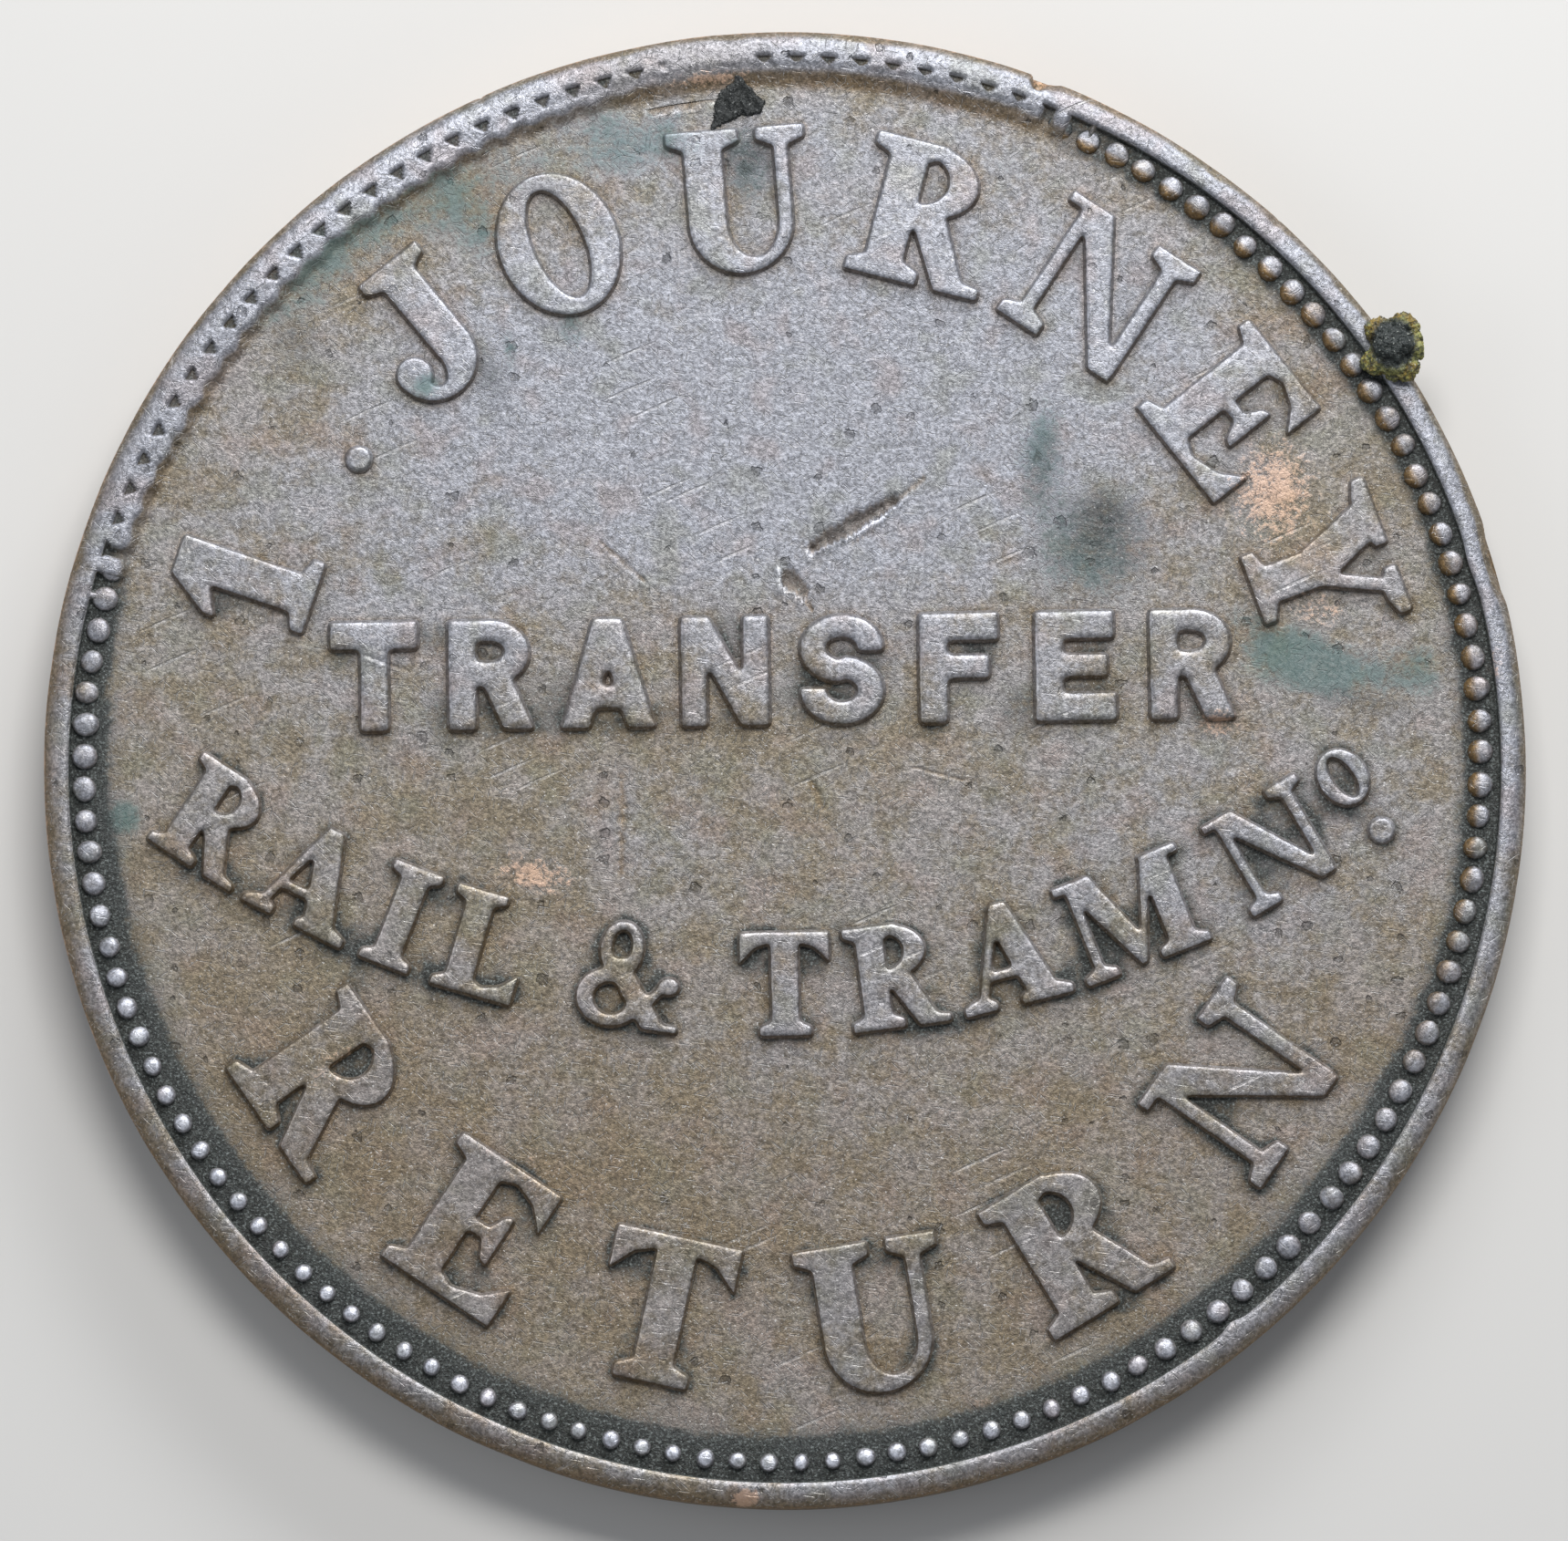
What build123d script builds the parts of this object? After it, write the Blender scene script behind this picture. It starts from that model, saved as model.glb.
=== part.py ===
from build123d import *
import os

# A struck copper token, about the size of an old penny. It lies flat with its obverse up.
# A plain round flan carries a raised rim, a ring of beads and a raised legend on the obverse,
# and a rim, beads, a wreath and a numeral on the reverse. Each relief feature is its own solid,
# seated face to face on the flan. The wording is generic.
# Millimetres, +Z up. The origin is the centre of the plane that the reverse rim rests on.

# Flan and rims
token_diameter = 34.0
token_thickness = 2.1
rim_height = 0.25
rim_width = 0.64
rim_inner_draft = 0.08
rim_outer_round = 0.18
rim_inner_round = 0.04

# Beaded border
bead_count = 137
bead_circle_radius = 15.97
bead_radius = 0.29
bead_height = 0.2
strike_offset = (-0.03, 0.08)

# Relief
letter_height = 0.2
stop_radius = 0.33
stop_height = 0.17

# Upper legend, read round the top: numeral, stop, then a seven-letter word.
# Its angles are clockwise from the top.
upper_word = "JOURNEY"
upper_angles = (-39.8, -23.4, -4.6, 14.5, 33.4, 51.5, 69.7)
upper_mid_radius = 13.1
upper_cap = 3.3
upper_numeral_angle = -71.2
upper_stop_angle = -54.2
upper_stop_radius = 12.06

# Centre legend, a straight line of sans-serif letters
centre_word = "TRANSFER"
centre_cap = 2.55
centre_pitch = 2.68
centre_y = 2.18
centre_slope = 0.9

# Middle legend, on a shallow curve that sags in the middle and ends in a small superior letter
# over a stop. The angles of this legend and the lower one are to the right of straight down.
middle_word = "RAIL&TRAMN"
middle_angles = (-33.1, -26.7, -21.2, -16.2, -7.6, 1.2, 7.6, 14.1, 21.5, 30.6)
middle_centre = (-0.48, 17.9)
middle_mid_radius = 22.93
middle_cap = 2.4
superior_angle = 36.1
superior_radius = 22.5
superior_cap = 1.35
middle_stop_radius = 24.0

# Lower legend, read round the bottom
lower_word = "RETURN"
lower_angles = (-55.1, -33.6, -12.4, 9.2, 31.4, 55.2)
lower_mid_radius = 12.76
lower_cap = 3.4

# Reverse: a wreath of two branches round a numeral and one word
wreath_radius = 11.6
wreath_stem_width = 0.36
wreath_start = 5.0
wreath_end = 158.0
leaf_pairs = 10
leaf_length = 2.7
leaf_width = 1.0
leaf_splay = 34.0
leaf_share = 0.6
berry_radius = 0.3
berry_inset = 1.1
knot_radius = 0.62
reverse_numeral_cap = 8.0
reverse_numeral_y = 1.8
reverse_word = "FARE"
reverse_word_cap = 2.2
reverse_word_pitch = 2.25
reverse_word_y = -5.0

# Dirt that is stuck to the token: a grain of grit on the rim and a flat lump by the beads.
# Each lump of the grain is x and y from its middle, then a radius.
crumb_place = (13.94, 9.6)
crumb_lumps = (
    (0.0, 0.0, 0.52), (0.26, 0.42, 0.36), (-0.3, 0.36, 0.34),
    (-0.3, -0.28, 0.36), (0.18, -0.44, 0.38), (0.42, 0.04, 0.34),
)
crumb_sink = 0.25
crumb_reach = 2.0
grime_outline = (
    (-1.74, 14.77), (-1.52, 15.22), (-1.28, 15.5), (-0.95, 15.66), (-0.46, 15.44), (-0.67, 15.28), (-1.19, 15.1),
)
grime_height = 0.1

token_radius = token_diameter / 2
obverse_field = token_thickness - rim_height
rim_inner_radius = token_radius - rim_width

# Proportions of the roman letters, as shares of the cap height
hair = 0.095
slab = 0.09
overhang = 0.12
bracket = 0.05
beak = 0.3


def block(left, bottom, right, top):
    return Pos((left + right) / 2, (bottom + top) / 2) * Rectangle(right - left, top - bottom)


def outline(*points):
    return make_face(Polyline(*points, close=True))


def oval(x, y, half_width, half_height):
    return Pos(x, y) * Ellipse(half_width, half_height)


def foot(left, right):
    """A bracketed slab under a stem that runs from left to right."""
    low, high = slab, slab + bracket
    return outline(
        (left - overhang, 0), (right + overhang, 0), (right + overhang, low),
        (right, high), (left, high), (left - overhang, low),
    )


def head(left, right):
    return Pos(0, 1) * mirror(foot(left, right), about=Plane.XZ)


def upright(left, right):
    return block(left, 0, right, 1) + foot(left, right) + head(left, right)


def hanging_beak(tip, inner):
    """The wedge that hangs from the end of a top arm, its outer edge at tip."""
    middle = tip + (inner - tip) * 0.45
    return outline((tip, 1), (inner, 1), (inner, 1 - hair), (middle, 1 - hair - 0.06), (tip, 1 - beak))


def standing_beak(tip, inner):
    return Pos(0, 1) * mirror(hanging_beak(tip, inner), about=Plane.XZ)


def bowl(left, middle, half_width, half_height, thick):
    """The right half of an oval ring, thick at its side and thin above and below."""
    ring = oval(left, middle, half_width, half_height)
    ring -= oval(left, middle, half_width - thick, half_height - hair)
    return ring & block(left, middle - half_height, left + half_width, middle + half_height)


def roman_one():
    flag = outline((0.02, 0.7), (0.02, 0.62), (0.3, 0.76), (0.3, 1), (0.22, 1))
    return block(0.22, 0, 0.5, 1) + flag + foot(0.22, 0.5)


def roman_j():
    hook = oval(0.3, 0.27, 0.3, 0.29) - oval(0.24, 0.29, 0.1, 0.2)
    hook &= block(0, -0.02, 0.6, 0.27)
    return block(0.33, 0.26, 0.6, 1) + head(0.33, 0.6) + hook + oval(0.12, 0.27, 0.125, 0.125)


def roman_o():
    return oval(0.42, 0.5, 0.42, 0.51) - oval(0.42, 0.5, 0.18, 0.4)


def roman_u():
    cup = oval(0.475, 0.34, 0.365, 0.36) - oval(0.56, 0.34, 0.18, 0.25)
    cup &= block(0.11, -0.02, 0.84, 0.34)
    left = block(0.11, 0.33, 0.38, 1) + head(0.11, 0.38)
    right = block(0.74, 0.33, 0.84, 1) + head(0.74, 0.84)
    return cup + left + right


def roman_r():
    leg = outline((0.34, 0.5), (0.6, 0.52), (0.82, 0.1), (0.95, 0.08), (0.95, 0), (0.64, 0))
    return upright(0.12, 0.39) + bowl(0.38, 0.735, 0.4, 0.265, 0.21) + leg


def roman_n():
    slope = outline((0.0, 1), (0.33, 1), (0.93, 0), (0.76, 0), (0.13, 0.92), (0.0, 0.92))
    left = block(0.12, 0, 0.215, 1) + foot(0.12, 0.215)
    right = block(0.82, 0.04, 0.93, 1) + head(0.82, 0.93)
    return slope + left + right


def roman_e():
    arms = block(0.3, 1 - hair, 0.8, 1) + block(0.3, 0, 0.86, hair) + block(0.3, 0.47, 0.62, 0.56)
    ends = hanging_beak(0.8, 0.5) + standing_beak(0.86, 0.52)
    nib = outline((0.5, 0.56), (0.56, 0.68), (0.62, 0.7), (0.62, 0.33), (0.56, 0.35), (0.5, 0.47))
    return upright(0.12, 0.39) + arms + ends + nib


def roman_l():
    return upright(0.12, 0.39) + block(0.3, 0, 0.8, hair) + standing_beak(0.8, 0.46)


def roman_y():
    left = outline((0.1, 1), (0.39, 1), (0.62, 0.5), (0.62, 0.4), (0.35, 0.4))
    right = outline((0.77, 1), (0.87, 1), (0.6, 0.42), (0.53, 0.5))
    arms = left + right + head(0.12, 0.37) + head(0.77, 0.87)
    return arms + block(0.35, 0, 0.62, 0.5) + foot(0.35, 0.62)


def roman_t():
    bar = block(0.0, 1 - hair, 0.86, 1)
    ends = hanging_beak(0, 0.33) + hanging_beak(0.86, 0.53)
    return bar + ends + block(0.295, 0, 0.565, 1) + foot(0.295, 0.565)


def roman_i():
    return upright(0.12, 0.39)


def roman_a():
    thin = outline((0.1, 0), (0.19, 0), (0.5, 0.9), (0.44, 1))
    thick = outline((0.44, 1), (0.6, 1), (0.95, 0), (0.64, 0), (0.4, 0.8))
    feet = foot(0.1, 0.19) + foot(0.66, 0.93)
    return thin + thick + feet + block(0.22, 0.28, 0.72, 0.37)


def roman_m():
    left = block(0.12, 0, 0.215, 1) + foot(0.12, 0.215) + block(0.0, 0.91, 0.2, 1)
    right = block(0.88, 0, 1.15, 1) + foot(0.88, 1.15) + block(1.1, 0.91, 1.27, 1)
    slopes = outline((0.1, 1), (0.38, 1), (0.7, 0.2), (0.56, 0.02))
    slopes += outline((0.56, 0.02), (0.62, 0.02), (1.0, 1), (0.9, 1))
    return left + right + slopes


def ampersand():
    loops = oval(0.38, 0.74, 0.21, 0.27) - oval(0.38, 0.77, 0.095, 0.15)
    loops += oval(0.32, 0.27, 0.32, 0.28) - oval(0.33, 0.26, 0.165, 0.155)
    leg = outline((0.2, 0.62), (0.42, 0.66), (0.86, 0.07), (1.0, 0.07), (1.0, 0), (0.66, 0))
    tail = outline((0.58, 0.2), (0.64, 0.12), (0.86, 0.42), (0.79, 0.46))
    return loops + leg + tail + oval(0.87, 0.44, 0.1, 0.085)


# Proportions of the sans-serif letters
limb = 0.26
narrow = 0.72


def sans_t():
    return block(0, 1 - limb, 0.8, 1) + block(0.27, 0, 0.53, 1)


def sans_r():
    loop = oval(0.38, 0.7, 0.36, 0.3) - oval(0.38, 0.71, 0.13, 0.09)
    loop &= block(0.38, 0.4, 0.74, 1)
    bars = block(0, 0, limb, 1) + block(0.2, 0.8, 0.39, 1) + block(0.2, 0.4, 0.39, 0.62)
    return bars + loop + outline((0.3, 0.44), (0.58, 0.46), (0.78, 0), (0.5, 0))


def sans_a():
    left = outline((0, 0), (0.26, 0), (0.56, 1), (0.3, 1))
    right = outline((0.86, 0), (0.6, 0), (0.3, 1), (0.56, 1))
    return left + right + block(0.2, 0.18, 0.66, 0.38)


def sans_n():
    return block(0, 0, 0.24, 1) + block(0.56, 0, 0.8, 1) + outline((0, 1), (0.26, 1), (0.8, 0), (0.54, 0))


def sans_s():
    upper = oval(0.38, 0.69, 0.38, 0.31) - oval(0.38, 0.69, 0.14, 0.1)
    lower = oval(0.38, 0.31, 0.38, 0.31) - oval(0.38, 0.31, 0.14, 0.1)
    return (upper - block(0.38, 0.3, 0.8, 0.66)) + (lower - block(-0.1, 0.34, 0.38, 0.7))


def sans_f():
    return block(0, 0, limb, 1) + block(0.2, 1 - limb, narrow, 1) + block(0.2, 0.4, 0.64, 0.62)


def sans_e():
    arms = block(0.2, 1 - limb, narrow, 1) + block(0.2, 0.4, 0.66, 0.61) + block(0.2, 0, narrow + 0.02, limb)
    return block(0, 0, limb, 1) + arms


roman_letters = {
    "1": roman_one, "J": roman_j, "O": roman_o, "U": roman_u, "R": roman_r, "N": roman_n, "E": roman_e,
    "Y": roman_y, "T": roman_t, "A": roman_a, "I": roman_i, "L": roman_l, "M": roman_m, "&": ampersand,
}
sans_letters = {"T": sans_t, "R": sans_r, "A": sans_a, "N": sans_n, "S": sans_s, "F": sans_f, "E": sans_e}


def letter_face(alphabet, letter, cap):
    """The letter as a flat face, cap tall, its middle at the origin."""
    face = scale(alphabet[letter](), by=cap)
    middle = face.bounding_box().center()
    return Pos(-middle.X, -cap / 2) * face


def raise_relief(placed_face, height):
    """The face extruded up from the obverse field."""
    return extrude(Pos(0, 0, obverse_field) * placed_face, amount=height, dir=(0, 0, 1)).solids()


def along_top(word, angles, radius, cap):
    placed = []
    for letter, angle in zip(word, angles):
        face = Rot(0, 0, -angle) * Pos(0, radius) * letter_face(roman_letters, letter, cap)
        placed += raise_relief(face, letter_height)
    return placed


def along_bottom(word, angles, radius, cap, centre=(0, 0)):
    placed = []
    for letter, angle in zip(word, angles):
        face = Pos(*centre) * Rot(0, 0, angle) * Pos(0, -radius) * letter_face(roman_letters, letter, cap)
        placed += raise_relief(face, letter_height)
    return placed


def along_line(word, pitch, y, cap, slope=0):
    placed = []
    for i, letter in enumerate(word):
        x = (i - (len(word) - 1) / 2) * pitch
        face = Rot(0, 0, slope) * Pos(x, y) * letter_face(sans_letters, letter, cap)
        placed += raise_relief(face, letter_height)
    return placed


def dome(radius, height):
    """A round button with a domed top, standing on the XY plane."""
    ball_radius = (radius**2 + height**2) / (2 * height)
    below = Box(4 * ball_radius, 4 * ball_radius, 2 * ball_radius)
    return Pos(0, 0, height - ball_radius) * Sphere(ball_radius) - Pos(0, 0, -ball_radius) * below


def make_flan():
    return Pos(0, 0, token_thickness / 2) * Cylinder(token_radius, token_thickness - 2 * rim_height)


def make_rim():
    """The obverse rim: a steep inner face, a flat top and a worn outer shoulder."""
    profile = outline(
        (rim_inner_radius, obverse_field),
        (token_radius, obverse_field),
        (token_radius, token_thickness),
        (rim_inner_radius + rim_inner_draft, token_thickness),
    )
    inner_corner = profile.vertices().group_by(Axis.Y)[-1].sort_by(Axis.X)[0]
    profile = fillet(inner_corner, rim_inner_round)
    outer_corner = profile.vertices().group_by(Axis.Y)[-1].sort_by(Axis.X)[-1]
    profile = fillet(outer_corner, rim_outer_round)
    return revolve(Plane.XZ * profile, Axis.Z)


def make_beads():
    """The ring of beads, a little off centre where the dies met the flan."""
    bead = dome(bead_radius, bead_height)
    seat = Pos(*strike_offset, obverse_field)
    turn = 360 / bead_count
    return [seat * Rot(0, 0, i * turn) * Pos(bead_circle_radius, 0) * bead for i in range(bead_count)]


def make_upper_stop():
    place = Rot(0, 0, -upper_stop_angle) * Pos(0, upper_stop_radius, obverse_field)
    return place * dome(stop_radius, stop_height)


def make_superior_stop():
    place = Rot(0, 0, superior_angle) * Pos(0, -middle_stop_radius, obverse_field)
    return Pos(*middle_centre) * place * dome(stop_radius, stop_height)


def leaf_face():
    """A pointed leaf along +Y with its stalk end at the origin, the overlap of two circles."""
    half_length = leaf_length / 2
    half_width = leaf_width / 2
    radius = (half_length**2 + half_width**2) / (2 * half_width)
    lens = Pos(radius - half_width, half_length) * Circle(radius)
    return lens & Pos(half_width - radius, half_length) * Circle(radius)


def on_branch(step, inset=0):
    """A place on the right-hand branch, its +X along the growth. Steps count leaf pairs from the knot."""
    along = wreath_start + (wreath_end - wreath_start) * step / leaf_pairs
    return Rot(0, 0, along) * Pos(0, inset - wreath_radius)


def make_branch():
    """The right-hand branch: a curved stem with pairs of leaves and one leaf at its tip."""
    stem_line = CenterArc((0, 0), wreath_radius, wreath_start - 90, wreath_end - wreath_start)
    branch = SlotArc(stem_line, wreath_stem_width)
    for i in range(leaf_pairs):
        for splay in (-leaf_splay, leaf_splay):
            branch += on_branch(i + leaf_share) * Rot(0, 0, splay - 90) * leaf_face()
    branch += on_branch(leaf_pairs) * Rot(0, 0, -90) * Pos(0, -wreath_stem_width) * leaf_face()
    return raise_relief(branch, letter_height)


def make_berries():
    """One berry by each pair of leaves, inside the wreath, on both branches."""
    berry = Pos(0, 0, obverse_field) * dome(berry_radius, stop_height)
    right = [on_branch(i + leaf_share, berry_inset) * berry for i in range(leaf_pairs)]
    return right + [mirror(one, about=Plane.YZ) for one in right]


def make_knot():
    return raise_relief(Pos(0, -wreath_radius) * Circle(knot_radius), stop_height)


def make_reverse_numeral():
    face = Pos(0, reverse_numeral_y) * letter_face(roman_letters, "1", reverse_numeral_cap)
    return raise_relief(face, letter_height)


def turned_over(shapes):
    """Carries relief from the obverse to the reverse, upright when the token is turned side to side."""
    over = Pos(0, 0, token_thickness) * Rot(0, 180, 0)
    return [over * shape for shape in shapes]


def make_crumb():
    """A grain of grit that sits on the rim and leans over the edge."""
    grain = Part()
    for x, y, radius in crumb_lumps:
        grain += Pos(x, y, radius * crumb_sink) * Sphere(radius)
    grain -= Pos(0, 0, -crumb_reach / 2) * Box(2 * crumb_reach, 2 * crumb_reach, crumb_reach)
    return Pos(*crumb_place, token_thickness) * grain


right_branch = make_branch()
left_branch = [mirror(solid, about=Plane.YZ) for solid in right_branch]

nodes = {
    "flan": [make_flan()],
    "obverse_rim": [make_rim()],
    "obverse_beads": make_beads(),
    "upper_numeral": along_top("1", [upper_numeral_angle], upper_mid_radius, upper_cap),
    "upper_stop": [make_upper_stop()],
    "upper_legend": along_top(upper_word, upper_angles, upper_mid_radius, upper_cap),
    "centre_legend": along_line(centre_word, centre_pitch, centre_y, centre_cap, centre_slope),
    "middle_legend": along_bottom(middle_word, middle_angles, middle_mid_radius, middle_cap, middle_centre),
    "superior_letter": along_bottom("O", [superior_angle], superior_radius, superior_cap, middle_centre),
    "superior_stop": [make_superior_stop()],
    "lower_legend": along_bottom(lower_word, lower_angles, lower_mid_radius, lower_cap),
    "grime_lump": raise_relief(outline(*grime_outline), grime_height),
    "rim_crumb": [make_crumb()],
    "reverse_rim": turned_over([make_rim()]),
    "reverse_beads": turned_over(make_beads()),
    "wreath_right_branch": turned_over(right_branch),
    "wreath_left_branch": turned_over(left_branch),
    "wreath_knot": turned_over(make_knot()),
    "wreath_berries": turned_over(make_berries()),
    "reverse_numeral": turned_over(make_reverse_numeral()),
    "reverse_legend": turned_over(
        along_line(reverse_word, reverse_word_pitch, reverse_word_y, reverse_word_cap)
    ),
}

os.makedirs("parts", exist_ok=True)
for name, shapes in nodes.items():
    solids = [solid for shape in shapes for solid in shape.solids()]
    export_step(Compound(children=solids), f"parts/{name}.step")
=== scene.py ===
import math
import random

import bmesh
import bpy
import numpy as np
from mathutils import Matrix, Vector, noise
from mathutils.kdtree import KDTree


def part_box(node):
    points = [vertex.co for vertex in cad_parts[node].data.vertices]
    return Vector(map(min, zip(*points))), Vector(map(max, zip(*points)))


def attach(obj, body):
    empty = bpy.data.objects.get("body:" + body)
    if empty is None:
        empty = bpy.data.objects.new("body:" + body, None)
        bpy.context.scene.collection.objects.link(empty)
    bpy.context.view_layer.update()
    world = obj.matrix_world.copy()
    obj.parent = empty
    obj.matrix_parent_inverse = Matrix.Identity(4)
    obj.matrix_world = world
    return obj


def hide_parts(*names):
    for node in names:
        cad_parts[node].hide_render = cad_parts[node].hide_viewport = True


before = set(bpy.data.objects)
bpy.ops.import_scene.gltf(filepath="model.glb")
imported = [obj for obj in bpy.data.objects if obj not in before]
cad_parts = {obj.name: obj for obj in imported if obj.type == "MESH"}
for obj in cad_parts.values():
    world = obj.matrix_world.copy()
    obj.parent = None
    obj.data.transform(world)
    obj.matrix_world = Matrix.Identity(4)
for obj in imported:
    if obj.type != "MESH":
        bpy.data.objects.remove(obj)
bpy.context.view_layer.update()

# Meshes are shaped in millimetres and brought to metres when they are finished
perMetre = 1000

flanLow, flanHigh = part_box("flan")
coin = {
    "radius": flanHigh.x * perMetre,
    "field": flanHigh.z * perMetre,
    "backField": flanLow.z * perMetre,
    "rimTop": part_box("obverse_rim")[1].z * perMetre,
    "middle": (flanLow.z + flanHigh.z) * perMetre / 2,
    "seam": 15.5,  # radius where the field piece meets the border piece
}
coin["rimRise"] = coin["rimTop"] - coin["field"]
coin["letterRise"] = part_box("upper_legend")[1].z * perMetre - coin["field"]


# Small maths on numbers and on whole columns of numbers

def smooth(low, high, value):
    t = np.clip((value - low) / (high - low), 0, 1)
    return t * t * (3 - 2 * t)


def blendTo(a, b, share):
    return a + (b - a) * share


def bearing(x, y):
    return np.degrees(np.arctan2(x, y)) % 360  # clockwise from the top


def apart(a, b):
    return np.abs((a - b + 180) % 360 - 180)


def facing(angle, at, full, none):
    return smooth(none, full, apart(angle, at))  # 1 within full degrees of a bearing, 0 past none


def ripple(x, y, size, seed=0):
    across, up, deep = x / size + seed * 7.3, y / size - seed * 3.1, seed * 1.7
    return np.array([noise.noise((a, b, deep)) for a, b in zip(across.tolist(), up.tolist())])


# Stage: floor, camera and lights

stage = {
    "aim": (-0.02, -0.13, 2.05),  # what the middle of the view looks at, mm
    "tilt": 5,
    "distance": 250,
    "across": 35.9,  # width of the view at the aim
    "floor": (0.52, 0.51, 0.49),
}

lights = {
    # name: place in mm, size in mm, power in watts, colour
    "window": ((10, 80, 125), (90, 45), 0.205, (1.0, 0.99, 0.98)),
    "lowWindow": ((62, 190, 88), (150, 50), 0.42, (0.95, 0.97, 1.0)),
    "sideFill": ((-190, -20, 120), (160, 160), 0.09, (0.93, 0.96, 1.0)),
    "frontFill": ((60, -200, 110), (180, 120), 0.035, (1.0, 0.93, 0.86)),
    "sky": (0.84, 0.9, 1.0, 0.33),  # colour and strength
}


def addFloor():
    bm = bmesh.new()
    bmesh.ops.create_grid(bm, x_segments=2, y_segments=2, size=1.5)
    mesh = bpy.data.meshes.new("floor")
    bm.to_mesh(mesh)
    bm.free()
    floor = bpy.data.objects.new("floor", mesh)
    bpy.context.scene.collection.objects.link(floor)
    paint = bpy.data.materials.new("paleFloor")
    paint.use_nodes = True
    shader = paint.node_tree.nodes["Principled BSDF"]
    shader.inputs["Base Color"].default_value = (*stage["floor"], 1)
    shader.inputs["Roughness"].default_value = 0.85
    mesh.materials.append(paint)


def addCamera():
    lens = bpy.data.cameras.new("camera")
    lens.sensor_width = 36
    lens.lens = lens.sensor_width * stage["distance"] / stage["across"]
    lens.clip_start = 0.01
    lens.clip_end = 10
    camera = bpy.data.objects.new("camera", lens)
    tilt = math.radians(stage["tilt"])
    back = Vector((0, -math.sin(tilt), math.cos(tilt)))
    camera.location = (Vector(stage["aim"]) + back * stage["distance"]) / perMetre
    camera.rotation_mode = "QUATERNION"
    camera.rotation_quaternion = (-back).to_track_quat("-Z", "Y")
    bpy.context.scene.collection.objects.link(camera)
    bpy.context.scene.camera = camera


def addLights():
    for name in ("window", "lowWindow", "sideFill", "frontFill"):
        place, size, power, colour = lights[name]
        lamp = bpy.data.lights.new(name, "AREA")
        lamp.shape = "RECTANGLE"
        lamp.size, lamp.size_y = size[0] / perMetre, size[1] / perMetre
        lamp.energy = power
        lamp.color = colour
        holder = bpy.data.objects.new(name, lamp)
        holder.location = Vector(place) / perMetre
        holder.rotation_mode = "QUATERNION"
        holder.rotation_quaternion = (-Vector(place)).to_track_quat("-Z", "Y")
        bpy.context.scene.collection.objects.link(holder)
    world = bpy.data.worlds.new("studio")
    world.use_nodes = True
    sky = world.node_tree.nodes["Background"]
    sky.inputs["Color"].default_value = (*lights["sky"][:3], 1)
    sky.inputs["Strength"].default_value = lights["sky"][3]
    bpy.context.scene.world = world
    bpy.context.scene.view_settings.view_transform = "Standard"


addFloor()
addCamera()
addLights()
print("stage ready")


# Materials

class Wire:
    def __init__(self, kit, socket):
        self.kit = kit
        self.socket = socket

    def maths(self, operation, *values):
        return self.kit.node("ShaderNodeMath", {"operation": operation}, dict(enumerate(values)))

    def __add__(self, other):
        return self.maths("ADD", self, other)

    def __radd__(self, other):
        return self.maths("ADD", other, self)

    def __sub__(self, other):
        return self.maths("SUBTRACT", self, other)

    def __rsub__(self, other):
        return self.maths("SUBTRACT", other, self)

    def __mul__(self, other):
        return self.maths("MULTIPLY", self, other)

    def __rmul__(self, other):
        return self.maths("MULTIPLY", other, self)

    def __or__(self, other):
        return self.maths("MAXIMUM", self, other)

    def other(self, name):
        return Wire(self.kit, self.socket.node.outputs[name])  # another output of the same node

    def clamped(self):
        return self.maths("MINIMUM", self.maths("MAXIMUM", self, 0.0), 1.0)


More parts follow.
